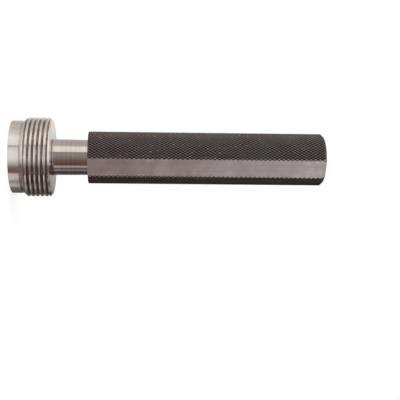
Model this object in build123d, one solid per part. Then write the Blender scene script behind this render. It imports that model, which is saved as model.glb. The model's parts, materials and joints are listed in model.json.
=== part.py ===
from build123d import *
import math
import os

# A thread plug gauge, millimetres. A ground gauging member (pilot, relief, left-hand fine thread and
# taper shank) is pressed into the tapered bore of a plain round handle with one milled flat.
# The gauge stands on the pilot's end face: +Z runs up the axis to the handle's tail, the origin is the
# middle of that face, and the flat faces -Y.

# Thread of the gauging member, truncated as on a not-go member: only a short flank stands over the
# pitch line. The two ratios are heights from the pitch line as shares of the pitch.
major_diameter = 26.53
pitch = 1.5
flank_angle = 30.0
crest_height_ratio = 0.1
groove_depth_ratio = 0.313
thread_length = 9.3
thread_back_chamfer = 0.85
thread_start_angle = 103.0

# Plain cylindrical pilot that enters the tapped hole first: the step is how far it lies under the crests
pilot_step = 1.115
pilot_length = 3.5
pilot_chamfer = 0.1

# Relief groove between pilot and thread, where the grinding wheel runs out
relief_width = 0.6
relief_depth = 0.27

# Taper shank: the part between head and handle shows as the neck
shank_diameter = 12.15
shank_taper_ratio = 50.0
neck_length = 11.9
neck_fillet = 0.4
shank_grip_length = 22.0
shank_end_chamfer = 0.8

# Sixty-degree centre holes, in which the member was held for grinding
centre_mouth_diameter = 4.2
centre_pilot_diameter = 2.0
centre_pilot_depth = 1.6
centre_half_angle = 30.0

# Handle: round bar with a milled flat that carries the marking
handle_diameter = 17.6
handle_length = 79.2
handle_front_radius = 0.4
handle_tail_chamfer = 0.7
flat_depth = 0.77
bore_mouth_chamfer = 0.4
bore_end_clearance = 3.0
drill_point_half_angle = 59.0

# How far a cutting shape runs past what it cuts
overrun = 0.5

# Radii and stations up the axis, worked out from the sizes above
major_radius = major_diameter / 2
pitch_radius = major_radius - crest_height_ratio * pitch
root_radius = pitch_radius - groove_depth_ratio * pitch
pilot_radius = major_radius - pilot_step
relief_radius = pilot_radius - relief_depth
shank_radius = shank_diameter / 2
handle_radius = handle_diameter / 2

thread_front_z = pilot_length + relief_width
head_back_z = thread_front_z + thread_length
handle_front_z = head_back_z + neck_length
shank_end_z = handle_front_z + shank_grip_length
handle_tail_z = handle_front_z + handle_length
bore_end_z = shank_end_z + bore_end_clearance


def taper_radius(z):
    """Radius of the taper at a station: the shank's surface and the bore's wall are the same cone."""
    return shank_radius - (z - head_back_z) / shank_taper_ratio / 2


def turned(*outline):
    """A solid of revolution about Z from an outline of (radius, station) points."""
    section = make_face(Polyline(*[(r, 0, z) for r, z in outline], close=True))
    return revolve(section, Axis.Z)


def centre_hole(mouth_z, inward):
    """Cutting shape of a 60-degree centre hole: inward is +1 up the axis and -1 down it."""
    mouth_radius = centre_mouth_diameter / 2
    drill_radius = centre_pilot_diameter / 2
    cone_depth = (mouth_radius - drill_radius) / math.tan(math.radians(centre_half_angle))
    point_depth = drill_radius / math.tan(math.radians(drill_point_half_angle))
    drill_end = cone_depth + centre_pilot_depth
    return turned(
        (0, mouth_z - inward * overrun),
        (mouth_radius, mouth_z - inward * overrun),
        (mouth_radius, mouth_z),
        (drill_radius, mouth_z + inward * cone_depth),
        (drill_radius, mouth_z + inward * drill_end),
        (0, mouth_z + inward * (drill_end + point_depth)),
    )


def groove_turns():
    """The helical groove between the crests, one turn at a time, run past both ends of the thread."""
    # The groove is half a pitch wide on the pitch line and opens outward with the flank angle
    spread = math.tan(math.radians(flank_angle))
    outer_radius = major_radius + overrun
    outer_half = pitch / 4 + (outer_radius - pitch_radius) * spread
    root_half = pitch / 4 - (pitch_radius - root_radius) * spread

    start_z = thread_front_z - pitch
    path = Helix(pitch, pitch, pitch_radius, center=(0, 0, start_z), lefthand=True)
    section = make_face(
        Polyline(
            (root_radius, 0, start_z - root_half),
            (outer_radius, 0, start_z - outer_half),
            (outer_radius, 0, start_z + outer_half),
            (root_radius, 0, start_z + root_half),
            close=True,
        )
    )
    turn = sweep(section, path=path, is_frenet=True).rotate(Axis.Z, thread_start_angle)

    # One turn ahead of the thread and one behind it, so that the groove runs out at both ends
    turn_count = math.ceil(thread_length / pitch) + 2
    return [Pos(0, 0, index * pitch) * turn for index in range(turn_count)]


def gauging_member():
    """Pilot, relief, thread and taper shank, turned from one bar and ground between centres."""
    # The thread's front is a step up to the pilot's height, then a 45-degree cone up to the crests
    blank = turned(
        (0, 0),
        (pilot_radius - pilot_chamfer, 0),
        (pilot_radius, pilot_chamfer),
        (pilot_radius, pilot_length),
        (relief_radius, pilot_length),
        (relief_radius, thread_front_z),
        (pilot_radius, thread_front_z),
        (major_radius, thread_front_z + pilot_step),
        (major_radius, head_back_z - thread_back_chamfer),
        (major_radius - thread_back_chamfer, head_back_z),
        (taper_radius(head_back_z), head_back_z),
        (taper_radius(shank_end_z - shank_end_chamfer), shank_end_z - shank_end_chamfer),
        (taper_radius(shank_end_z) - shank_end_chamfer, shank_end_z),
        (0, shank_end_z),
    )
    # The neck's root is the one inner circle on the head's back face
    root = blank.edges().filter_by(GeomType.CIRCLE).filter_by(
        lambda e: abs(e.center().Z - head_back_z) < neck_fillet and e.radius < relief_radius / 2 + shank_radius / 2
    )
    member = fillet(root, neck_fillet)
    for turn in groove_turns():
        member = member - turn
    return member - centre_hole(0, 1) - centre_hole(shank_end_z, -1)


def handle():
    """Round bar with a tapered blind bore at the front, a rounded front edge and one full-length flat."""
    bar = turned(
        (0, handle_front_z),
        (handle_radius, handle_front_z),
        (handle_radius, handle_tail_z - handle_tail_chamfer),
        (handle_radius - handle_tail_chamfer, handle_tail_z),
        (0, handle_tail_z),
    )
    bar = fillet(bar.edges().sort_by(Axis.Z)[0], handle_front_radius)

    # The flat is milled the whole length of the bar, square to -Y
    waste_height = handle_length + overrun + overrun
    waste = Box(handle_diameter, flat_depth + overrun, waste_height)
    flat_y = -(handle_radius - flat_depth)
    waste = Pos(0, flat_y - (flat_depth + overrun) / 2, (handle_front_z + handle_tail_z) / 2) * waste

    mouth_radius = taper_radius(handle_front_z)
    end_radius = taper_radius(bore_end_z)
    point_depth = end_radius / math.tan(math.radians(drill_point_half_angle))
    bore = turned(
        (0, handle_front_z - overrun),
        (taper_radius(handle_front_z - overrun), handle_front_z - overrun),
        (end_radius, bore_end_z),
        (0, bore_end_z + point_depth),
    )
    mouth = turned(
        (0, handle_front_z - overrun),
        (mouth_radius + bore_mouth_chamfer + overrun, handle_front_z - overrun),
        (mouth_radius, handle_front_z + bore_mouth_chamfer),
        (0, handle_front_z + bore_mouth_chamfer),
    )
    return bar - waste - bore - mouth


os.makedirs("parts", exist_ok=True)
export_step(gauging_member(), "parts/gauging_member.step")
export_step(handle(), "parts/handle.step")
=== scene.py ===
# %% [markdown]
# A thread plug gauge, dressed in Blender.
#
# The real gauge is two pieces. A gauging member of hardened steel carries the plain pilot, the fine
# left-hand thread and a taper shank, and the shank is pressed into a knurled, blackened handle. The
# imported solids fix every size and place. They leave out what a lathe, a grinder and use add: the
# rounding of the crests, the diamond knurl, the lines of the grinding wheel, stains and wear. This
# script makes those. Both pieces are surfaces worked out with numpy, in millimetres, as on a workshop
# drawing, and a last step turns them into Blender's metres.

# %% The fixed frame and the sizes that it gives
import json
import math

import bmesh
import bpy
import numpy as np
from mathutils import Matrix, Vector


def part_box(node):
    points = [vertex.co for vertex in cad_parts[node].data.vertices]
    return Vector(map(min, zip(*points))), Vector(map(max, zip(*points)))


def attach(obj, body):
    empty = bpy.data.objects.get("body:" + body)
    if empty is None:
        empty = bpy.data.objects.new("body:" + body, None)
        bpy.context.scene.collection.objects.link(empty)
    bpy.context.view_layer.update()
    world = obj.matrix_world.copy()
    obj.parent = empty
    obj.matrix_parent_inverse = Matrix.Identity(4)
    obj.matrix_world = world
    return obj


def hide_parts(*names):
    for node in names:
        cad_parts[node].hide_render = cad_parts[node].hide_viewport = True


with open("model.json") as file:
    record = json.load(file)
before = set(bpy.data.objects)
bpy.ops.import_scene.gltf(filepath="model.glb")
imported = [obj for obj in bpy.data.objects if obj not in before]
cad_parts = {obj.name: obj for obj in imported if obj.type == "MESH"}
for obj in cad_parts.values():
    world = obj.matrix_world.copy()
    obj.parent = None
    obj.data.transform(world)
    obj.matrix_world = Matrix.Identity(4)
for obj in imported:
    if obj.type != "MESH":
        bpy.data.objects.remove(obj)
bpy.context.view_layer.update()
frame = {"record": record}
METRE = 1000.0  # millimetres in a metre

member_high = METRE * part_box("gauging_member")[1]
handle_low, handle_high = (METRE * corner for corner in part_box("handle"))
mounts = {mount["name"]: mount for mount in frame["record"]["mounts"]}

pilot_radius = mounts["pilot"]["dims"]["r_mm"]
shank_end_z = member_high.z
handle_radius = handle_high.x
handle_front_z = handle_low.z
handle_tail_z = handle_high.z
flat_y = handle_low.y
print(f"member up to {shank_end_z:.2f}, handle from {handle_front_z:.2f} to {handle_tail_z:.2f}")
print(f"handle's radius {handle_radius:.2f}, flat {handle_radius + flat_y:.2f} deep")

# %% [markdown]
# The camera comes first, because everything else is judged through it.
#
# The gauge stands on its pilot with the axis along +Z, and the picture shows it lying on its side. So
# the camera is turned a quarter round its own view: the axis runs to the right of the picture. A
# camera is easiest to describe as a person would: how far from the axis it stands, on which bearing,
# how high, and at which point it looks. The shift slides the picture without turning the camera.

# %% The camera
camera_bearing = -113.15  # degrees round +Z from +X
camera_distance = 250.91  # from the axis
camera_height = 39.98
aim_height = 52.64
aim_sideways = 14.78  # to the right of the axis, seen with +Z up
camera_roll = 0.434  # degrees that the axis dips to the right of the picture
camera_lens = 66.52
camera_shift = (0.0771, 0.0045)


def round_the_axis(bearing, distance, height):
    """The point at a bearing in degrees, a distance from the axis and a height."""
    angle = math.radians(bearing)
    return Vector((distance * math.cos(angle), distance * math.sin(angle), height))


def gauge_camera():
    """A camera whose picture has the gauge's axis running to the right.

    The view direction goes from the camera to the aim. The picture's right is +Z with its part along
    the view taken out, turned by the roll, and up is square to both.
    """
    place = round_the_axis(camera_bearing, camera_distance, camera_height)
    sideways = round_the_axis(camera_bearing + 90, aim_sideways, 0)
    forward = (sideways + Vector((0, 0, aim_height)) - place).normalized()
    level_right = (Vector((0, 0, 1)) - forward.z * forward).normalized()
    level_up = (-forward).cross(level_right)
    roll = math.radians(camera_roll)
    right = math.cos(roll) * level_right + math.sin(roll) * level_up
    up = (-forward).cross(right)

    data = bpy.data.cameras.new("camera")
    data.lens = camera_lens
    data.shift_x, data.shift_y = camera_shift
    data.clip_start = 0.01
    data.clip_end = 20
    camera = bpy.data.objects.new("camera", data)
    bpy.context.scene.collection.objects.link(camera)
    turn = Matrix((right, up, -forward)).transposed()
    camera.matrix_world = Matrix.Translation(place / METRE) @ turn.to_4x4()
    bpy.context.scene.camera = camera
    return camera


camera = gauge_camera()
print("camera at", [round(METRE * value, 1) for value in camera.location])

# %% [markdown]
# Every surface here starts as a grid: rows up the piece, columns round it, and a point for each pair.
#
# Blender could spin an outline with its Screw modifier, but a thread isn't the same all round, and a
# grid of numpy arrays can hold any radius at any angle. The grid gets a UV map whose U runs round the
# piece, because grinding lines run that way, and the shader needs to know it. Columns 0 and last are
# the same place, and at the axis a whole row is one point. Welding closes both.

# %% From a grid of points to a closed mesh
WELD = 0.0015  # points nearer than this become one
LEVEL = 0.99999  # height of the normal of a face that counts as level
SCRATCH_MAP = "scratches"


def turned_points(radius, turn, station):
    """Points in millimetres: radius at an angle round +Z, counted in turns, at a station up the axis."""
    angle = 2 * math.pi * turn
    return np.stack([radius * np.cos(angle), radius * np.sin(angle), station], axis=-1)


def mesh_of(name, points, faces, loop_uv=None):
    """A mesh of points in millimetres and an array of faces, each row the corners of one face.

    Its UV map stays empty where no coordinates are given for the corners.
    """
    mesh = bpy.data.meshes.new(name)
    mesh.vertices.add(len(points))
    mesh.vertices.foreach_set("co", (points / METRE).astype(np.float32).ravel())
    mesh.loops.add(faces.size)
    mesh.loops.foreach_set("vertex_index", faces.astype(np.int32).ravel())
    mesh.polygons.add(len(faces))
    mesh.polygons.foreach_set("loop_start", np.arange(0, faces.size, faces.shape[1], dtype=np.int32))
    mesh.update(calc_edges=True)
    uv_map = mesh.uv_layers.new(name=SCRATCH_MAP)
    if loop_uv is not None:
        uv_map.data.foreach_set("uv", loop_uv.astype(np.float32).ravel())
    return mesh


def point_values(mesh, name, values):
    """Gives each point of a mesh a value of its own, which a material can read by its name."""
    layer = mesh.attributes.new(name, "FLOAT", "POINT")
    layer.data.foreach_set("value", values.astype(np.float32).ravel())


def grid_mesh(name, points, uv):
    """A mesh over a grid: points and uv have a row and a column index first. Each cell is one face."""
    rows, columns = points.shape[:2]
    corner = np.arange(rows * columns).reshape(rows, columns)
    cells = np.stack([corner[:-1, :-1], corner[:-1, 1:], corner[1:, 1:], corner[1:, :-1]], axis=-1)
    faces = cells.reshape(-1, 4)
    return mesh_of(name, points.reshape(-1, 3), faces, uv.reshape(-1, 2)[faces])


def path_length(radius, station):
    """Distance along an outline of radii and stations, from its first point to each point."""
    steps = np.hypot(np.diff(radius), np.diff(station))
    return np.concatenate([[0.0], np.cumsum(steps)])


def welded(mesh_list):
    """One bmesh of all the meshes, with points that coincide merged and faces without area removed."""
    solid = bmesh.new()
    for mesh in mesh_list:
        solid.from_mesh(mesh)
        bpy.data.meshes.remove(mesh)
    bmesh.ops.remove_doubles(solid, verts=solid.verts, dist=WELD / METRE)
    bmesh.ops.dissolve_degenerate(solid, dist=WELD / METRE / 10, edges=solid.edges)
    return solid


def closed_object(name, solid, sharp_angle):
    """An object of a closed bmesh, faces outwards.

    It is smooth except where faces meet at a sharp angle. Level faces, such as the ends, and faces of a
    second material are plane, because a normal that leans at their rim would show as a streak.
    """
    bmesh.ops.recalc_face_normals(solid, faces=solid.faces)
    if solid.calc_volume(signed=True) < 0:
        bmesh.ops.reverse_faces(solid, faces=solid.faces)
    open_edges = sum(1 for edge in solid.edges if not edge.is_manifold)
    mesh = bpy.data.meshes.new(name)
    solid.to_mesh(mesh)
    volume = solid.calc_volume() * METRE**3
    solid.free()
    material = np.empty(len(mesh.polygons), np.int32)
    normal = np.empty(3 * len(mesh.polygons), np.float32)
    mesh.polygons.foreach_get("material_index", material)
    mesh.polygons.foreach_get("normal", normal)
    level = np.abs(normal[2::3]) > LEVEL
    mesh.set_sharp_from_angle(angle=math.radians(sharp_angle))
    mesh.polygons.foreach_set("use_smooth", (material == 0) & ~level)
    mesh.calc_loop_triangles()
    piece = bpy.data.objects.new(name, mesh)
    bpy.context.scene.collection.objects.link(piece)
    print(f"{name}: {len(mesh.loop_triangles)} triangles, {volume:.0f} mm3, {open_edges} open edges")
    return piece


print("a quarter turn at radius 10 is at", turned_points(10, 0.25, 0).round(3))

# %% [markdown]
# A turned piece is known by its outline, the line that the tool's tip follows. No real corner is
# sharp: the stone breaks an outer one, and the tool's nose leaves a small radius in an inner one. Those
# few hundredths are what catch the light at an edge, so each corner of an outline carries a rounding.
# Blender's Bevel modifier could do it on the mesh, but on the outline it is exact and costs nothing.

# %% Outlines with rounded corners
ARC_STEPS = 4
BESIDE_ARC = 0.02  # a point this far beside each rounding keeps the long face next to it evenly shaded


def rounded_outline(*corners):
    """Radii and stations along an outline of (radius, station, rounding) corners.

    At a corner with a rounding, the outline leaves its side at a distance of rounding times the
    tangent of half the turn, and follows a quadratic curve whose control point is the corner. At such
    small sizes that can't be told from an arc.
    """
    place = np.array([(r, z) for r, z, _ in corners], float)
    line = [place[:1]]
    for before, here, after, corner in zip(place[:-2], place[1:-1], place[2:], corners[1:-1]):
        back = (before - here) / np.linalg.norm(before - here)
        ahead = (after - here) / np.linalg.norm(after - here)
        half_turn = (math.pi - math.acos(np.clip(back @ ahead, -1, 1))) / 2
        reach = corner[2] * math.tan(half_turn)
        if reach == 0:
            line.append(here[None])
            continue
        t = np.linspace(0, 1, ARC_STEPS + 1)[:, None]
        arc_start, arc_end = here + reach * back, here + reach * ahead
        line.append((here + (reach + BESIDE_ARC) * back)[None])
        line.append((1 - t) ** 2 * arc_start + 2 * t * (1 - t) * here + t**2 * arc_end)
        line.append((here + (reach + BESIDE_ARC) * ahead)[None])
    line.append(place[-1:])
    return np.concatenate(line).T


square_corner = rounded_outline((0, 0, 0), (5, 0, 1), (5, 5, 0))
print(f"one rounded corner takes {square_corner.shape[1] - 2} points")

# %% [markdown]
# The gauging member is turned and then ground between centres.
#
# Its thread is a groove wound round a cylinder, and it is left-hand: seen from outside with the axis
# upright, the groove climbs to the left. At a not-go member only a short flank is left on either side
# of the pitch line, so the crests are broad flats. A thread cut with straight rows would need very many
# of them to keep its edges clean. Here the rows lean with the helix instead, so a few lie exactly on
# each edge of each crest, and where a row would leave the thread it is held at its end.

# %% Sizes of the gauging member
major_radius = 13.265
pitch = 1.5
flank_angle = 30.0
crest_height_ratio = 0.1  # from the pitch line up to the crest, as a share of the pitch
groove_depth_ratio = 0.313  # from the pitch line down to the root, as a share of the pitch
pitch_radius = major_radius - crest_height_ratio * pitch
root_radius = pitch_radius - groove_depth_ratio * pitch
thread_length = 9.3
thread_start_angle = 103.0
thread_back_chamfer = 0.85

pilot_length = 3.5
pilot_chamfer = 0.1
relief_width = 0.6
relief_depth = 0.27
relief_radius = pilot_radius - relief_depth
thread_front_z = pilot_length + relief_width
head_back_z = thread_front_z + thread_length

shank_radius = 6.075
shank_taper_ratio = 50.0
neck_fillet = 0.4
shank_end_chamfer = 0.8

centre_mouth_radius = 2.1
centre_drill_radius = 1.0
centre_drill_depth = 1.6
centre_half_angle = 30.0
drill_point_half_angle = 59.0

broken_edge = 0.06  # rounding of an outer corner after the stone
tool_nose = 0.1  # rounding of an inner corner
crest_rounding = 0.05
turned_edge = 0.12  # how much of each end of the thread is left to the turned outline
end_touch = 0.01  # where the thread's end is nearer than this to the turned outline, it is joined to it


def taper_radius(station):
    """Radius of the taper shank at a station: its diameter shrinks by one part in fifty of the length."""
    return shank_radius - (station - head_back_z) / shank_taper_ratio / 2


def centre_hole(mouth_z, inward):
    """Outline of a centre hole from the axis to the mouth: drill point, drilled hole and 60-degree cone."""
    cone_depth = (centre_mouth_radius - centre_drill_radius) / math.tan(math.radians(centre_half_angle))
    point_depth = centre_drill_radius / math.tan(math.radians(drill_point_half_angle))
    drill_end = cone_depth + centre_drill_depth
    return [
        (0, mouth_z + inward * (drill_end + point_depth), 0),
        (centre_drill_radius, mouth_z + inward * drill_end, 0),
        (centre_drill_radius, mouth_z + inward * cone_depth, 0),
        (centre_mouth_radius, mouth_z, broken_edge),
    ]


print(f"thread {thread_front_z:.1f} to {head_back_z:.1f}, root radius {root_radius:.3f}")

# %% The thread as a radius at every angle and station
corner_rows = np.array([-1.2, -0.4, 0.4, 1.2])  # rows beside each corner of the groove, in roundings
flank_rows = land_rows = 5
groove_z = thread_front_z - pitch + pitch * thread_start_angle / 360  # a groove's middle at angle zero


def soft_min(a, b, rounding):
    """The smaller of two radii, with the corner between them rounded.

    Half of their sum, less half of the root of their difference squared plus the rounding squared.
    """
    return (a + b - np.sqrt((a - b) ** 2 + rounding**2)) / 2


def thread_radius(turn, station):
    """Radius of the threaded part at an angle, in turns, and a station.

    A left-hand groove's middle sinks by one pitch a turn. From the distance to the nearest middle, the
    flank rises at the flank angle, between the root and the crest. The turned blank limits it: a
    45-degree cone up from the pilot's height in front, and a chamfer at the back. The depth of the
    groove under the blank comes out too, because oil and a painted shade are laid there.
    """
    from_groove = np.abs((station - groove_z + pitch * turn + pitch / 2) % pitch - pitch / 2)
    flank = pitch_radius + (from_groove - pitch / 4) / math.tan(math.radians(flank_angle))
    cut = -soft_min(-flank, -root_radius, crest_rounding)
    blank = np.minimum(
        pilot_radius + (station - thread_front_z),
        major_radius - thread_back_chamfer + (head_back_z - station),
    )
    crest = soft_min(major_radius, blank, crest_rounding)
    radius = soft_min(cut, crest, crest_rounding)
    return radius, crest - radius


def thread_rows():
    """Stations, at angle zero, of rows that follow the helix, close together at the groove's corners."""
    slope = math.tan(math.radians(flank_angle))
    root_corner = pitch / 4 - (pitch_radius - root_radius) * slope
    crest_corner = pitch / 4 + (major_radius - pitch_radius) * slope
    near = crest_rounding * corner_rows
    flank = np.linspace(root_corner + near[-1], crest_corner + near[0], flank_rows)
    land = np.linspace(crest_corner + near[-1], pitch / 2, land_rows)
    half = np.concatenate([[0], root_corner + near, flank, crest_corner + near, land])
    half = np.unique(half.round(6))
    one_turn = np.concatenate([half, pitch - half[-2:0:-1]])
    first = math.floor((thread_front_z - groove_z) / pitch) - 1
    last = math.ceil((head_back_z - groove_z) / pitch) + 2
    rows = (groove_z + pitch * np.arange(first, last)[:, None] + one_turn).ravel()
    first_z, last_z = thread_front_z + turned_edge, head_back_z - turned_edge
    inside = (rows > first_z) & (rows < last_z + pitch)
    return np.concatenate([[first_z], rows[inside], [last_z + pitch]])


print(f"{len(thread_rows())} rows lean with the thread")

# %% The gauging member's surface
member_columns = 240
UV_LENGTH = 100.0  # millimetres of outline that the UV map's height stands for
OIL_AND_SHADE_MAP = "oil"  # how much oil and painted shade a point holds, from 0 to 1
oil_shade_from, oil_shade_to = 0.1, 0.45  # depth under the uncut blank at which oil and painted shade begin, and at which they cover
root_shade = 0.9  # share of painted shade in the neck's root, where the fillet meets the head


def oil_and_shade_in(depth):
    """Share of oil and painted shade at a depth under the blank: none on what the wheel touched, and all of
    it deep down.
    """
    return np.clip((depth - oil_shade_from) / (oil_shade_to - oil_shade_from), 0, 1)


def gauging_member():
    """Pilot, relief, thread, neck and shank as one closed surface.

    The outline in front of the thread and the one behind it are turned, so their rows are circles. The
    rows of the thread sink by one pitch a turn and are held between its two ends. There the crests join
    the outline, and the groove's mouth stays open as a step. Where the groove runs out, its edge comes
    so near to the outline that the two are made one, or the weld would leave a pinched edge.
    """
    turn = np.linspace(0, 1, member_columns + 1)
    front = rounded_outline(
        *centre_hole(0, 1),
        (pilot_radius - pilot_chamfer, 0, broken_edge),
        (pilot_radius, pilot_chamfer, broken_edge),
        (pilot_radius, pilot_length, broken_edge),
        (relief_radius, pilot_length, tool_nose),
        (relief_radius, thread_front_z, tool_nose),
        (pilot_radius, thread_front_z, broken_edge),
        (pilot_radius + turned_edge, thread_front_z + turned_edge, 0),
    )
    back = rounded_outline(
        (major_radius - thread_back_chamfer + turned_edge, head_back_z - turned_edge, 0),
        (major_radius - thread_back_chamfer, head_back_z, broken_edge),
        (taper_radius(head_back_z), head_back_z, neck_fillet),
        (taper_radius(shank_end_z - shank_end_chamfer), shank_end_z - shank_end_chamfer, broken_edge),
        (taper_radius(shank_end_z) - shank_end_chamfer, shank_end_z, broken_edge),
        *reversed(centre_hole(shank_end_z, -1)),
    )
    leaning = thread_rows()[:, None] - pitch * turn
    leaning = np.clip(leaning, thread_front_z + turned_edge, head_back_z - turned_edge)
    threaded, groove_depth = thread_radius(turn, leaning)
    for end_radius, end_z in (front[:, -1], back[:, 0]):
        touching = (np.abs(leaning - end_z) < WELD) & (end_radius - threaded < end_touch)
        threaded[touching] = end_radius
    before, behind = (outline[:, :, None] + 0 * turn for outline in (front, back))
    radius = np.concatenate([before[0], threaded, behind[0]])
    station = np.concatenate([before[1], leaning, behind[1]])
    # The relief, the thread's grooves and the neck's root get oil with painted shade, darker the deeper
    # they lie
    in_relief = np.where(before[1] >= pilot_length, pilot_radius - before[0], 0)
    fillet_end = head_back_z + neck_fillet, shank_radius + neck_fillet
    in_root_shade = root_shade * ((behind[1] < fillet_end[0]) & (behind[0] < fillet_end[1]))
    oil = np.concatenate([oil_and_shade_in(in_relief), oil_and_shade_in(groove_depth), in_root_shade])

    along = path_length(radius[:, 0], station[:, 0]) / UV_LENGTH
    uv = np.stack(np.broadcast_arrays(turn, along[:, None]), axis=-1)
    mesh = grid_mesh("member", turned_points(radius, turn, station), uv)
    point_values(mesh, OIL_AND_SHADE_MAP, oil)
    return closed_object("ground_gauging_member", welded([mesh]), sharp_angle=35)


member = gauging_member()

# %% [markdown]
# The handle is a bar that was knurled first and cut after.
#
# Two knurling wheels press grooves that wind round the bar in opposite hands, and what is left between
# them are small pyramids with flat tops. The grooves are two families of lines, numbered a and b, so a
# pyramid is one cell between whole numbers. In the a-b plane the knurl is a plain square grid, which
# numpy fills in one go, and winding the plane round the bar turns the squares into diamonds. Each cell
# is cut where a pyramid has its edges, so that 18 triangles give it a true form.

# %% The knurl as a lattice of pyramids
knurl_starts = 60  # grooves of each hand round the bar
knurl_axial_pitch = 1.52
knurl_depth = 0.34  # where two grooves cross
knurl_saddle = 0.35  # how far a groove rises between two crossings, as a share of the depth
knurl_land = 0.06  # half of the flat top, as a share of a cell
PIT_MAP = "pit"  # 1 where two grooves cross, less in a groove, and 0 on a pyramid; it sets the painted shade of the pits
groove_light = 0.65  # how much lighter a groove is between two crossings
knurl_bearing = -114.15  # degrees round +Z from +X of a row of crossings, at the middle of the handle
knurl_drift = 2.6  # degrees by which the rows wander round the bar from end to end


def lattice_cells(length):
    """Whole numbers (a, b) of all the cells over a length: each goes once round the bar."""
    reach = math.ceil(length / knurl_axial_pitch) + 1
    a, rise = np.meshgrid(np.arange(knurl_starts), np.arange(-reach, reach + 1), indexing="ij")
    return a.ravel(), (a - rise).ravel()


def knurl_surface(middle, length):
    """The knurled bar, open at both ends.

    A point (a, b) lies (a + b) / 2 starts round the bar and (a - b) / 2 axial pitches up it. Its height
    grows with the distance to the nearest groove, a whole number of a or b, up to the flat top, and a
    groove is deepest where it crosses another. Going once round adds all the starts to a and to b, so
    numbers that differ by that are one point. The two wheels were never quite alike, so the rows of
    crossings wander a little round the bar on their way up. How deep a point lies in a pit goes into an
    attribute, because the pits get a painted shade, with old oil in it.
    """
    a, b = lattice_cells(length)
    share = np.array([0, 0.5 - knurl_land, 0.5 + knurl_land, 1])
    lines = len(share) - 1
    step_a, step_b = np.meshgrid(np.arange(lines + 1), np.arange(lines + 1), indexing="ij")
    grid_a = lines * a[:, None] + step_a.ravel()
    grid_b = lines * b[:, None] + step_b.ravel()
    rounds = grid_a // (lines * knurl_starts)
    key = np.stack([grid_a, grid_b], axis=-1) - lines * knurl_starts * rounds[..., None]
    key, index = np.unique(key.reshape(-1, 2), axis=0, return_inverse=True)

    line = key // lines + share[key % lines]
    from_groove = np.minimum(np.abs(line - np.round(line)) / (0.5 - knurl_land), 1)
    near, far = from_groove.min(axis=1), from_groove.max(axis=1)
    height = near + (1 - near) * far * knurl_saddle
    station = middle + (line[:, 0] - line[:, 1]) / 2 * knurl_axial_pitch
    wander = knurl_bearing + knurl_drift * (station - middle) / length
    turn = line.sum(axis=1) / 2 / knurl_starts + wander / 360
    points = turned_points(handle_radius - knurl_depth * (1 - height), turn, station)

    corner = index.reshape(-1, lines + 1, lines + 1)
    here, side = corner[:, :-1, :-1], corner[:, 1:, :-1]
    across, other = corner[:, 1:, 1:], corner[:, :-1, 1:]
    # On the cell's own diagonal a square is split along it, and elsewhere the other way
    diagonal = np.eye(lines, dtype=bool)[..., None]
    first = np.where(diagonal, np.stack([here, across, side], -1), np.stack([here, other, side], -1))
    second = np.where(diagonal, np.stack([here, other, across], -1), np.stack([side, other, across], -1))
    faces = np.concatenate([first.reshape(-1, 3), second.reshape(-1, 3)])
    mesh = mesh_of("knurl", points, faces)
    point_values(mesh, PIT_MAP, (1 - near) * (1 - groove_light * far))
    return mesh


cell_width = 2 * math.pi * handle_radius / knurl_starts
print(f"a knurl cell is {cell_width:.2f} mm round the bar by {knurl_axial_pitch} mm along it")

# %% [markdown]
# Cutting the bar follows the workshop. Facing trims both ends, the edges are rounded or chamfered, the
# bore is reamed to the taper, and one flat is milled from end to end. The mill cuts below the knurl's
# grooves, so its border is a row of teeth. A plane cut through the mesh gives those teeth exactly,
# which a picture of teeth on a plain flat never does.

# %% Cutting the handle's ends, bore and flat
front_edge_radius = 0.4
tail_chamfer = 0.7
bore_mouth_chamfer = 0.4
bore_end_clearance = 3.0
bore_end_z = shank_end_z + bore_end_clearance
edge_cuts = 6  # rings of new points that let the knurl follow a rounded or chamfered edge
on_plane = 1e-8  # metres within which a point counts as lying on a cutting plane


def plane_cut(solid, point, outward, keep_outside):
    """Cuts a bmesh at a plane, drops what lies outside it unless that is kept, and gives the new edges."""
    cut = bmesh.ops.bisect_plane(
        solid,
        geom=solid.verts[:] + solid.edges[:] + solid.faces[:],
        dist=on_plane,
        plane_co=Vector(point) / METRE,
        plane_no=Vector(outward),
        clear_outer=not keep_outside,
    )
    return [item for item in cut["geom_cut"] if isinstance(item, bmesh.types.BMEdge)]


def edge_limit(station):
    """Largest radius that the rounded front edge and the tail's chamfer leave at a station."""
    into_edge = np.clip(front_edge_radius - (station - handle_front_z), 0, front_edge_radius)
    front = handle_radius - front_edge_radius + np.sqrt(front_edge_radius**2 - into_edge**2)
    tail = handle_radius - tail_chamfer + (handle_tail_z - station)
    return np.minimum(front, tail)


def trim_knurl(solid):
    """Faces both ends of the knurled bar and brings every point inside the limit of its edges.

    The points that this moves lie on a turned surface, so they are no longer part of a pit.
    """
    plane_cut(solid, (0, 0, handle_front_z), (0, 0, -1), keep_outside=False)
    plane_cut(solid, (0, 0, handle_tail_z), (0, 0, 1), keep_outside=False)
    for step in range(1, edge_cuts + 1):
        round_depth = front_edge_radius * (1 - math.cos(math.pi / 2 * step / edge_cuts))
        plane_cut(solid, (0, 0, handle_front_z + round_depth), (0, 0, 1), keep_outside=True)
        chamfer_depth = tail_chamfer * step / edge_cuts
        plane_cut(solid, (0, 0, handle_tail_z - chamfer_depth), (0, 0, 1), keep_outside=True)
    mesh = bpy.data.meshes.new("trimmed_knurl")
    solid.to_mesh(mesh)
    solid.free()
    points = np.empty(3 * len(mesh.vertices), np.float32)
    mesh.vertices.foreach_get("co", points)
    points = points.reshape(-1, 3).astype(float) * METRE
    inward = edge_limit(points[:, 2]) / np.hypot(points[:, 0], points[:, 1])
    points[:, :2] *= np.minimum(1, inward)[:, None]
    mesh.vertices.foreach_set("co", (points / METRE).astype(np.float32).ravel())
    pit = np.empty(len(points), np.float32)
    mesh.attributes[PIT_MAP].data.foreach_get("value", pit)
    mesh.attributes[PIT_MAP].data.foreach_set("value", np.where(inward < 1, 0, pit).astype(np.float32))
    return mesh, points


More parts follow.
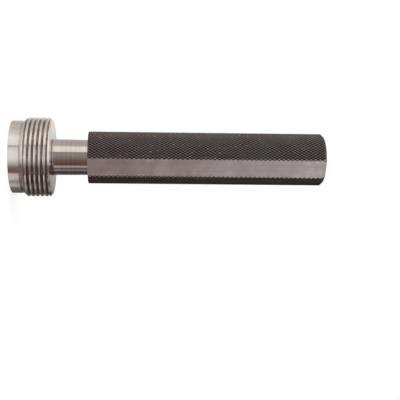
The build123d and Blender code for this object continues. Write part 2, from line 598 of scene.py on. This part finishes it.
def end_cap(name, points, end_z, outline):
    """Rings that close one end: they take their angles from the rim's own points, so both meet exactly."""
    rim = points[np.abs(points[:, 2] - end_z) < WELD / 10]
    turn = np.unique(np.round(np.arctan2(rim[:, 1], rim[:, 0]) / (2 * math.pi), 7))
    turn = np.append(turn, turn[0] + 1)
    radius, station = outline
    along = path_length(radius, station) / UV_LENGTH
    uv = np.stack(np.broadcast_arrays(turn, along[:, None]), axis=-1)
    return grid_mesh(name, turned_points(radius[:, None], turn, station[:, None] + 0 * turn), uv)


def knurled_handle():
    """The whole handle as one closed surface, with the flat as its second material."""
    middle = (handle_front_z + handle_tail_z) / 2
    solid = bmesh.new()
    lattice = knurl_surface(middle, handle_tail_z - handle_front_z)
    solid.from_mesh(lattice)
    bpy.data.meshes.remove(lattice)
    knurl, points = trim_knurl(solid)

    mouth_radius = taper_radius(handle_front_z)
    bore_end_radius = taper_radius(bore_end_z)
    point_depth = bore_end_radius / math.tan(math.radians(drill_point_half_angle))
    bore = rounded_outline(
        (handle_radius - front_edge_radius, handle_front_z, 0),
        (mouth_radius + bore_mouth_chamfer, handle_front_z, broken_edge),
        (mouth_radius, handle_front_z + bore_mouth_chamfer, broken_edge),
        (bore_end_radius, bore_end_z, 0),
        (0, bore_end_z + point_depth, 0),
    )
    tail = rounded_outline((handle_radius - tail_chamfer, handle_tail_z, 0), (0, handle_tail_z, 0))
    front_cap = end_cap("bore", points, handle_front_z, bore)
    tail_cap = end_cap("tail", points, handle_tail_z, tail)
    solid = welded([knurl, front_cap, tail_cap])

    border = plane_cut(solid, (0, flat_y, 0), (0, -1, 0), keep_outside=False)
    bmesh.ops.triangle_fill(solid, use_beauty=True, use_dissolve=False, edges=border, normal=(0, -1, 0))
    scratches = solid.loops.layers.uv[SCRATCH_MAP]
    for face in solid.faces:
        if all(abs(METRE * vertex.co.y - flat_y) < WELD for vertex in face.verts):
            face.material_index = 1
            for loop in face.loops:
                loop[scratches].uv = METRE / UV_LENGTH * loop.vert.co.zx
    return closed_object("knurled_handle", solid, sharp_angle=18)


handle = knurled_handle()

# %% [markdown]
# Now the finishes. A finish is built from a few plain effects, and each effect that more than one
# finish uses is a node group, made once. A group gives out only values that change over the surface:
# the shader itself stays in the material, with the numbers that are the same all over set on it.
#
# All patterns read Object coordinates, so they stay on the piece when it is moved or exported. The
# grinding lines of a turned piece are circles round the axis. Their pattern must not change along a
# circle, so it reads the radius and the station and hardly anything else.

# %% Helpers for node trees
def feed(tree, node, inputs):
    """Feeds a node's inputs, by name or number, from plain values or other nodes' outputs."""
    for name, value in inputs.items():
        slot = node.inputs[name]
        if isinstance(value, bpy.types.NodeSocket):
            tree.links.new(value, slot)
        elif slot.type == "RGBA":
            slot.default_value = (*value, 1)
        else:
            slot.default_value = value


def add(tree, kind, inputs=None, **settings):
    """A node with its settings made and its inputs fed."""
    node = tree.nodes.new(kind)
    for name, value in settings.items():
        setattr(node, name, value)
    feed(tree, node, inputs or {})
    return node


def math_node(tree, operation, *operands, clamp=False):
    """The result of a sum: each operand is a number or another node's output."""
    inputs = dict(enumerate(operands))
    return add(tree, "ShaderNodeMath", inputs, operation=operation, use_clamp=clamp).outputs[0]


def mixed(tree, share, first, second):
    """A colour between two, each a colour or another node's output."""
    return add(tree, "ShaderNodeMix", {0: share, 6: first, 7: second}, data_type="RGBA").outputs[2]


def scaled(tree, value, amount):
    """A value times an amount."""
    return math_node(tree, "MULTIPLY", value, amount)


def base_plus(tree, base, *parts):
    """A base number plus, for each part, its mask times its amount."""
    total = base
    for mask, amount in parts:
        total = math_node(tree, "MULTIPLY_ADD", mask, amount, total)
    return total


def spread(tree, value, low, high, curve="LINEAR"):
    """How far a value has come from low to high, from 0 to 1."""
    inputs = {"Value": value, "From Min": low, "From Max": high}
    return add(tree, "ShaderNodeMapRange", inputs, interpolation_type=curve).outputs["Result"]


def xyz(tree, vector):
    """The three parts of a vector."""
    return add(tree, "ShaderNodeSeparateXYZ", {0: vector}).outputs


def noise(tree, position, **inputs):
    """Noise round 0.5 at a position."""
    return add(tree, "ShaderNodeTexNoise", {"Vector": position, **inputs}).outputs["Fac"]


def new_group(name, inputs, outputs):
    """An empty node group, what it is given, and the node that takes its results.

    Inputs are (name, kind, default), outputs (name, kind).
    """
    tree = bpy.data.node_groups.new(name, "ShaderNodeTree")
    for socket_name, kind, default in inputs:
        socket = tree.interface.new_socket(socket_name, in_out="INPUT", socket_type=kind)
        if default is not None:
            socket.default_value = default
    for socket_name, kind in outputs:
        tree.interface.new_socket(socket_name, in_out="OUTPUT", socket_type=kind)
    return tree, tree.nodes.new("NodeGroupInput").outputs, tree.nodes.new("NodeGroupOutput")


def placed(tree, group, **inputs):
    """A group placed in a material, with its own numbers and links."""
    return add(tree, "ShaderNodeGroup", inputs, node_tree=group).outputs


# %% Effects that the finishes share
FLOAT, VECTOR = "NodeSocketFloat", "NodeSocketVector"


def lathe_space_group():
    """Where a point lies for a lathe: its radius, and a vector that hardly changes round a circle.

    The vector is the radius with a trace of x, a trace of y, and z. The trace keeps long rings from
    being too perfect.
    """
    tree, given, result = new_group(
        "lathe_space",
        [("Position", VECTOR, None), ("Trace", FLOAT, 0.02)],
        [("Radius", FLOAT), ("Along Outline", VECTOR)],
    )
    x, y, z = xyz(tree, given["Position"])
    radius = math_node(tree, "SQRT", math_node(tree, "ADD", scaled(tree, x, x), scaled(tree, y, y)))
    trace_x, trace_y = (scaled(tree, part, given["Trace"]) for part in (x, y))
    parts = {0: math_node(tree, "ADD", radius, trace_x), 1: trace_y, 2: z}
    along = add(tree, "ShaderNodeCombineXYZ", parts).outputs[0]
    feed(tree, result, {"Radius": radius, "Along Outline": along})
    return tree


def scratch_lines_group():
    """Fine lines of uneven strength: noise stretched by a different amount along each axis."""
    tree, given, result = new_group(
        "scratch_lines",
        [("Position", VECTOR, None), ("Fineness", VECTOR, (1, 1, 1))],
        [("Fine", FLOAT), ("Broad", FLOAT)],
    )
    factors = {0: given["Position"], 1: given["Fineness"]}
    stretched = add(tree, "ShaderNodeVectorMath", factors, operation="MULTIPLY").outputs[0]
    for name, scale, detail in (("Fine", 1.0, 4.0), ("Broad", 0.22, 2.0)):
        lines = noise(tree, stretched, Scale=scale, Detail=detail, Roughness=0.6)
        feed(tree, result, {name: spread(tree, lines, 0.3, 0.7)})
    return tree


def patches_group():
    """Soft patches, as of handling, oil and uneven blacking.

    The more cover, the lower the value of the noise from which it counts as a patch, and the edge of a
    patch is five times as steep as the noise.
    """
    tree, given, result = new_group(
        "patches",
        [("Position", VECTOR, None), ("Scale", FLOAT, 150.0), ("Cover", FLOAT, 0.5)],
        [("Mask", FLOAT)],
    )
    cloud = noise(tree, given["Position"], Scale=given["Scale"], Detail=5.0, Roughness=0.6, Distortion=0.4)
    edge = math_node(tree, "SUBTRACT", 0.75, scaled(tree, given["Cover"], 0.5))
    over = math_node(tree, "SUBTRACT", cloud, edge)
    feed(tree, result, {"Mask": math_node(tree, "MULTIPLY_ADD", over, 5.0, 0.5, clamp=True)})
    return tree


lathe_space = lathe_space_group()
scratch_lines = scratch_lines_group()
patches = patches_group()
print("effects:", sorted(group.name for group in bpy.data.node_groups))

# %% [markdown]
# Ground steel is a mirror with a grain. The wheel leaves fine grooves round the piece, so a light is
# drawn out across them: sharp round the cylinder, blurred along it. The Principled shader calls that
# anisotropy, and it takes the grain's direction from the UV map. The grooves of the thread never see
# the wheel again once the oil is in them, and they are browner and duller than the crests: their colour
# is oil with painted shade, which also darkens the relief and the neck's root. How much of it a point
# holds came out with its radius, so the mesh carries it as an attribute. The neck was only turned and
# polished, and its broader lines are brown.

# %% Ground steel
steel_colour = (0.74, 0.72, 0.70)
steel_stain = (0.60, 0.56, 0.52)
stain_share, line_share = 0.5, 0.25  # how far a patch, and a line, go towards the stain's colour
# The colour of oil and painted shade in the grooves, the relief and the neck's root
oil_and_shade_colour = (0.24, 0.18, 0.14)
oil_and_shade_gaps = 0.35  # share of the oil and painted shade that is gone in patches
neck_colour = (0.74, 0.70, 0.66)
neck_line = (0.56, 0.52, 0.48)  # in the lines that the turning tool left round the neck
neck_outside = (0.6, 0.3)  # millimetres outside the shank's radius between which the neck's finish begins

steel_roughness = 0.08
line_roughness, stain_roughness, neck_roughness, oil_roughness = 0.03, 0.02, -0.05, 0.2  # added to it
steel_grain = 1.0
neck_smoothness = 0.8  # share of the grinding lines' depth that the neck lacks
grain_turn = 0.25  # of a full turn, from the UV map's U to the way in which reflections are drawn out


def metal_tree(name):
    """A new metal: its material, its node tree, its shader and its Object coordinates."""
    material = bpy.data.materials.new(name)
    material.use_nodes = True
    tree = material.node_tree
    shader = tree.nodes["Principled BSDF"]
    feed(tree, shader, {"Metallic": 1.0})
    return material, tree, shader, add(tree, "ShaderNodeTexCoord").outputs["Object"]


def bump(tree, shader, height, distance, strength):
    """Lets a height change how the surface faces the light."""
    inputs = {"Height": height, "Strength": strength, "Distance": distance}
    feed(tree, shader, {"Normal": add(tree, "ShaderNodeBump", inputs).outputs["Normal"]})


def grain(tree, shader, amount):
    """Draws reflections out across the scratches, which run along the UV map's U."""
    tangent = add(tree, "ShaderNodeTangent", direction_type="UV_MAP", uv_map=SCRATCH_MAP).outputs[0]
    feed(tree, shader, {"Tangent": tangent, "Anisotropic": amount, "Anisotropic Rotation": grain_turn})


def ground_steel():
    """Bright steel with grinding lines, faint stains, and oil with painted shade in the thread's grooves,
    the relief and the neck's root.
    """
    material, tree, shader, position = metal_tree("ground_steel")
    lathe = placed(tree, lathe_space, Position=position)
    along = lathe["Along Outline"]
    lines = placed(tree, scratch_lines, Position=along, Fineness=(9000, 9000, 9000))
    turning = placed(tree, scratch_lines, Position=along, Fineness=(4000, 4000, 4000))
    stain = placed(tree, patches, Position=position, Scale=170.0, Cover=0.45)
    thin = placed(tree, patches, Position=position, Scale=420.0, Cover=0.4)
    oil = add(tree, "ShaderNodeAttribute", attribute_name=OIL_AND_SHADE_MAP).outputs["Fac"]
    oil_and_shade_share = scaled(tree, oil, base_plus(tree, 1.0, (thin["Mask"], -oil_and_shade_gaps)))
    station = xyz(tree, position)[2]
    behind_head = spread(tree, station, head_back_z / METRE, (head_back_z + neck_fillet) / METRE)
    inside = spread(tree, lathe["Radius"], *((shank_radius + edge) / METRE for edge in neck_outside))
    neck = scaled(tree, behind_head, inside)

    clean = mixed(tree, scaled(tree, stain["Mask"], stain_share), steel_colour, steel_stain)
    ground = mixed(tree, scaled(tree, lines["Broad"], line_share), clean, steel_stain)
    turned = mixed(tree, turning["Broad"], neck_colour, neck_line)
    bright = mixed(tree, neck, ground, turned)
    roughness = base_plus(
        tree, steel_roughness, (lines["Fine"], line_roughness), (stain["Mask"], stain_roughness),
        (neck, neck_roughness), (oil_and_shade_share, oil_roughness),
    )
    feed(tree, shader, {"Base Color": mixed(tree, oil_and_shade_share, bright, oil_and_shade_colour), "Roughness": roughness})
    grain(tree, shader, steel_grain)
    line_depth = scaled(tree, lines["Fine"], base_plus(tree, 1.0, (neck, -neck_smoothness)))
    bump(tree, shader, line_depth, distance=0.000002, strength=0.5)
    return material


member.data.materials.append(ground_steel())
print("ground_steel:", len(member.active_material.node_tree.nodes), "nodes")

# %% [markdown]
# The handle's black is an oxide grown on the steel in hot salts: a thin, dark skin that still shines
# like metal. It wears off first on the flat tops of the pyramids, and not evenly, so bright specks are
# scattered over the knurl. The mask for them is the radius, since only the tops reach the full one. In
# the pits its colour is darkest, a painted shade with old oil in it, and the bar's faced ends keep faint
# turned rings.
#
# The flat was milled or ground after blacking, lengthwise, and has only a thin, brownish tarnish.
# Stretched noise makes its lines: a scale for each axis, large across them and small along them.

# %% Black oxide and the milled flat
black_colour = (0.190, 0.184, 0.176)
black_brown = (0.186, 0.154, 0.152)
# Painted shade, with old oil, where the knurl's grooves cross
pit_shade_colour = (0.018, 0.013, 0.013)
pit_shade_full = 0.6  # share of a pit at which the painted shade is darkest
worn_colour = (0.72, 0.68, 0.62)
turned_black = (0.28, 0.27, 0.26)  # on the ridges that the turning tool left on the bar's ends
oxide_edge = (0.30, 0.26, 0.26)  # how little brighter the oxide gets where it is seen edge on
top_from, top_to = 0.1, 0.03  # millimetres under the full radius at which a pyramid's top begins
bare_from, bare_to = 0.61, 0.68  # values of the noise between which a top goes bare
top_wear = 0.06  # share of wear on every top
ring_fade = 0.99  # share of an end's radius at which its rings have their full strength

oxide_roughness = 0.29
uneven_roughness, worn_roughness = 0.06, -0.1  # added to it

flat_colour = (0.77, 0.69, 0.68)
flat_tarnish = (0.47, 0.39, 0.37)
tarnish_share, mottle_share, flat_line_share = 0.5, 0.45, 0.6  # how far each goes towards the tarnish
flat_roughness = 0.29
flat_line_roughness = 0.1  # added to it
flat_grain = 0.8


def black_oxide():
    """Blackened steel with uneven depth of colour, painted shade in the knurl's pits and bare specks on its
    tops.
    """
    material, tree, shader, position = metal_tree("black_steel")
    lathe = placed(tree, lathe_space, Position=position)
    uneven = placed(tree, patches, Position=position, Scale=150.0, Cover=0.5)
    top_low, top_high = ((handle_radius - depth) / METRE for depth in (top_from, top_to))
    top = spread(tree, lathe["Radius"], top_low, top_high, curve="SMOOTHSTEP")
    pit = add(tree, "ShaderNodeAttribute", attribute_name=PIT_MAP).outputs["Fac"]
    specks = noise(tree, position, Scale=900.0, Detail=2.0, Roughness=0.7)
    bare = scaled(tree, spread(tree, specks, bare_from, bare_to), top)
    worn = math_node(tree, "MAXIMUM", bare, scaled(tree, top, top_wear))

    skin = mixed(tree, uneven["Mask"], black_colour, black_brown)
    # Painted shade in the knurl's pits, darkest where two grooves cross
    skin = mixed(tree, spread(tree, pit, 0.0, pit_shade_full), skin, pit_shade_colour)
    rings = placed(tree, scratch_lines, Position=lathe["Along Outline"], Fineness=(5000, 5000, 5000))
    end_radius = (handle_radius - tail_chamfer) / METRE
    on_end = spread(tree, lathe["Radius"], end_radius, ring_fade * end_radius)
    skin = mixed(tree, scaled(tree, on_end, rings["Broad"]), skin, turned_black)
    roughness = base_plus(
        tree, oxide_roughness, (uneven["Mask"], uneven_roughness), (worn, worn_roughness)
    )
    feed(tree, shader, {
        "Base Color": mixed(tree, worn, skin, worn_colour),
        "Roughness": roughness,
        "Specular Tint": oxide_edge,
    })
    bump(tree, shader, specks, distance=0.00002, strength=0.4)
    return material


def milled_flat():
    """The flat: lengthwise scratches over a thin brownish tarnish."""
    material, tree, shader, position = metal_tree("milled_flat")
    lines = placed(tree, scratch_lines, Position=position, Fineness=(7000, 300, 130))
    tarnish = placed(tree, patches, Position=position, Scale=60.0, Cover=0.4)
    mottled = placed(tree, patches, Position=position, Scale=330.0, Cover=0.45)
    colour = flat_colour
    masks = (tarnish["Mask"], mottled["Mask"], lines["Broad"])
    for mask, share in zip(masks, (tarnish_share, mottle_share, flat_line_share)):
        colour = mixed(tree, scaled(tree, mask, share), colour, flat_tarnish)
    roughness = base_plus(tree, flat_roughness, (lines["Fine"], flat_line_roughness))
    feed(tree, shader, {"Base Color": colour, "Roughness": roughness})
    grain(tree, shader, flat_grain)
    bump(tree, shader, lines["Fine"], distance=0.000006, strength=0.5)
    return material


handle.data.materials.append(black_oxide())
handle.data.materials.append(milled_flat())
print("handle's finishes:", [material.name for material in handle.data.materials])

# %% [markdown]
# Steel has no look of its own: it shows the room. So the studio is part of the finish. A photographer
# sets white panels and dark flags round a shiny part, and its bands are their reflections. They could
# be planes that give light, but here the sky of the scene holds them, which costs no time to render
# and has no edges to hide. A direction's bearing picks a colour from a row of panels, and its height
# picks the row. Upright surfaces, such as pilot, neck and flat, see only the rows near the horizon.
# The knurl's small faces lean, and they see the high and the steep one. The camera sees plain white.

# %% The studio: panels round the gauge
# Tints: a warm and a cold white, daylight, bare wood, dark wood, and the plum of a shaded cloth
WARM, COLD, DAY = (1, 0.95, 0.90), (1, 0.97, 0.97), (1, 1.03, 1.07)
TAN, BROWN, PLUM = (1, 0.85, 0.79), (1, 0.58, 0.46), (1, 0.89, 0.90)

# Degrees from the camera round the axis, tint and strength of each panel, in four rows by height
low_row = [
    (-180, COLD, 0.58), (-176, COLD, 0.98), (-150, WARM, 0.62), (-120, WARM, 0.64), (-96, WARM, 0.74),
    (-73, WARM, 0.90), (-60, WARM, 1.10), (-37, WARM, 0.96), (-33, COLD, 0.30), (-29, COLD, 1.00),
    (-14, COLD, 1.12), (2, COLD, 1.12), (12, COLD, 0.92), (24, TAN, 0.60), (35, BROWN, 0.27),
    (48, BROWN, 0.19), (51, BROWN, 0.30), (56, PLUM, 0.84), (74, PLUM, 0.84), (84, PLUM, 0.40),
    (90, PLUM, 0.40), (103, PLUM, 0.68), (116, PLUM, 0.25), (147, PLUM, 0.10), (172, COLD, 0.24),
    (177, PLUM, 0.29), (180, COLD, 0.58),
]
camera_row = [
    (-180, COLD, 0.58), (-176, COLD, 0.98), (-150, WARM, 0.60), (-120, WARM, 0.55), (-78, WARM, 0.60),
    (-70, WARM, 1.12), (-37, WARM, 1.12), (-32, COLD, 0.35), (-15, COLD, 0.33), (5, TAN, 0.26),
    (18, BROWN, 0.22), (53, BROWN, 0.13), (57, PLUM, 0.48), (68, PLUM, 0.48), (73, PLUM, 0.13),
    (81, PLUM, 0.13), (87, PLUM, 0.32), (99, PLUM, 0.22), (104, PLUM, 0.07), (130, PLUM, 0.05),
    (140, PLUM, 0.28), (172, COLD, 0.22), (177, PLUM, 0.29), (180, COLD, 0.58),
]
high_row = [
    (-180, COLD, 0.58), (-176, COLD, 1.02), (-150, WARM, 1.05), (-92, WARM, 1.08), (-66, WARM, 1.40),
    (-42, WARM, 1.35), (-33, COLD, 0.70), (-20, COLD, 1.25), (6, DAY, 1.12), (20, DAY, 0.75),
    (34, DAY, 0.60), (41, DAY, 1.25), (50, DAY, 1.25), (56, PLUM, 0.10), (72, PLUM, 0.03),
    (150, PLUM, 0.03), (172, COLD, 0.22), (177, PLUM, 0.29), (180, COLD, 0.58),
]
steep_row = [
    (-180, PLUM, 0.20), (-165, WARM, 0.50), (-141, WARM, 0.65), (-118, WARM, 1.00), (-66, WARM, 1.45),
    (-33, COLD, 1.10), (6, COLD, 1.25), (18, COLD, 0.90), (30, COLD, 0.30), (54, PLUM, 0.10),
    (72, BROWN, 0.10), (92, BROWN, 0.25), (101, BROWN, 0.25), (107, PLUM, 0.55), (113, PLUM, 0.55),
    (118, PLUM, 0.08), (125, PLUM, 0.10), (131, PLUM, 0.36), (145, PLUM, 0.38), (150, PLUM, 0.06),
    (172, PLUM, 0.06), (180, PLUM, 0.20),
]
overhead = (1.00, 0.97, 0.95)

# Heights, as sines, between which one row gives way to the next
low_to_camera = (-0.125, -0.112)
camera_to_high = (-0.02, 0.24)
high_to_steep, low_to_steep = (0.3, 0.5), (-0.24, -0.34)
steep_to_overhead = (0.95, 1.0)


def panel_ramp(tree, bearing, row):
    """A row of panels as a colour ramp, with a bearing from 0 to 1 round the whole circle."""
    ramp = add(tree, "ShaderNodeValToRGB", {0: bearing})
    stops = ramp.color_ramp.elements
    stops.remove(stops[1])
    for panel in row:
        degrees, tint, strength = panel
        stop = stops[0] if panel is row[0] else stops.new((degrees + 180) / 360)
        stop.position = (degrees + 180) / 360
        stop.color = (*(strength * part for part in tint), 1)
    return ramp.outputs[0]


def panel_light(tree, direction):
    """The panels' light from a direction: its bearing finds the panels of each row, its height the row."""
    inputs = {"Vector": direction, "Angle": -math.radians(camera_bearing)}
    turned = add(tree, "ShaderNodeVectorRotate", inputs, rotation_type="Z_AXIS").outputs[0]
    unit = add(tree, "ShaderNodeVectorMath", {0: turned}, operation="NORMALIZE").outputs[0]
    x, y, height = xyz(tree, unit)
    bearing = spread(tree, math_node(tree, "ARCTAN2", y, x), -math.pi, math.pi)

    colour = panel_ramp(tree, bearing, low_row)
    for share, row in (
        (spread(tree, height, *low_to_camera), camera_row),
        (spread(tree, height, *camera_to_high), high_row),
    ):
        colour = mixed(tree, share, colour, panel_ramp(tree, bearing, row))
    steep = [spread(tree, height, *heights) for heights in (high_to_steep, low_to_steep)]
    colour = mixed(tree, math_node(tree, "MAXIMUM", *steep), colour, panel_ramp(tree, bearing, steep_row))
    steepness = math_node(tree, "ABSOLUTE", height)
    return mixed(tree, spread(tree, steepness, *steep_to_overhead, curve="SMOOTHSTEP"), colour, overhead)


def studio_sky():
    """The panels light the gauge, and the camera sees white."""
    world = bpy.data.worlds.new("studio_sky")
    world.use_nodes = True
    tree = world.node_tree
    tree.nodes.clear()
    light = panel_light(tree, add(tree, "ShaderNodeTexCoord").outputs["Generated"])
    seen = add(tree, "ShaderNodeLightPath").outputs["Is Camera Ray"]
    colour = mixed(tree, seen, light, (1, 1, 1))
    sky = add(tree, "ShaderNodeBackground", {"Color": colour, "Strength": 1.0}).outputs[0]
    add(tree, "ShaderNodeOutputWorld", {"Surface": sky})
    bpy.context.scene.world = world


studio_sky()
print("panels in each row:", [len(row) for row in (low_row, camera_row, high_row, steep_row)])

# %% [markdown]
# The floor is a plain white board on which the gauge stands.
#
# It could be lit until it clips to white, but that much light would burn out the gauge too. Instead
# the floor gives the camera some light of its own, so that only a pale shadow is left on it. Light
# Path tells which ray asks: a reflection in the steel passes through the floor and finds the panels
# behind it, as if they reached below, and every other ray meets plain white paint.

# %% The floor
floor_half_width = 2000.0
floor_paint = (0.85, 0.85, 0.85)
floor_glow = 0.80  # light that the floor gives the camera by itself
floor_paint_share = 0.45  # share of the painted look that the camera sees besides


def blended(tree, share, first, second):
    """A mix of two shaders. The share of the second is a number or another node's output."""
    return add(tree, "ShaderNodeMixShader", {"Fac": share, 1: first, 2: second}).outputs[0]


def white_floor():
    """Paint for most rays, dimmed paint with a glow for the camera, and nothing for a reflection."""
    material = bpy.data.materials.new("white_floor")
    material.use_nodes = True
    tree = material.node_tree
    tree.nodes.clear()
    ray = add(tree, "ShaderNodeLightPath").outputs
    paint = add(tree, "ShaderNodeBsdfDiffuse", {"Color": floor_paint}).outputs[0]
    black = add(tree, "ShaderNodeBsdfTransparent", {"Color": (0, 0, 0)}).outputs[0]
    clear = add(tree, "ShaderNodeBsdfTransparent").outputs[0]
    glow = add(tree, "ShaderNodeEmission", {"Strength": floor_glow}).outputs[0]
    dimmed = blended(tree, floor_paint_share, black, paint)
    glowing = add(tree, "ShaderNodeAddShader", {0: dimmed, 1: glow}).outputs[0]
    surface = blended(tree, ray["Is Camera Ray"], paint, glowing)
    surface = blended(tree, ray["Is Glossy Ray"], surface, clear)
    add(tree, "ShaderNodeOutputMaterial", {"Surface": surface})
    return material


def studio_floor():
    """A square round the origin, level with the pilot's end face."""
    corners = floor_half_width * np.array([(-1, -1, 0), (1, -1, 0), (1, 1, 0), (-1, 1, 0)])
    floor = bpy.data.objects.new("floor", mesh_of("floor", corners, np.array([[0, 1, 2, 3]])))
    bpy.context.scene.collection.objects.link(floor)
    floor.data.materials.append(white_floor())
    return floor


floor = studio_floor()
bpy.context.scene.view_settings.view_transform = "Standard"
print("floor in metres:", [round(value, 2) for value in floor.dimensions])

# %% [markdown]
# Last, each piece is tied to the imported model: it rides on the one body, and its solid is hidden,
# since the piece stands for it.

# %% Tying the pieces to the frame
for piece, node_name, slot_name in (
    (member, "gauging_member", "ground_steel"),
    (handle, "handle", "black_steel"),
):
    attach(piece, "root")
    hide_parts(node_name)
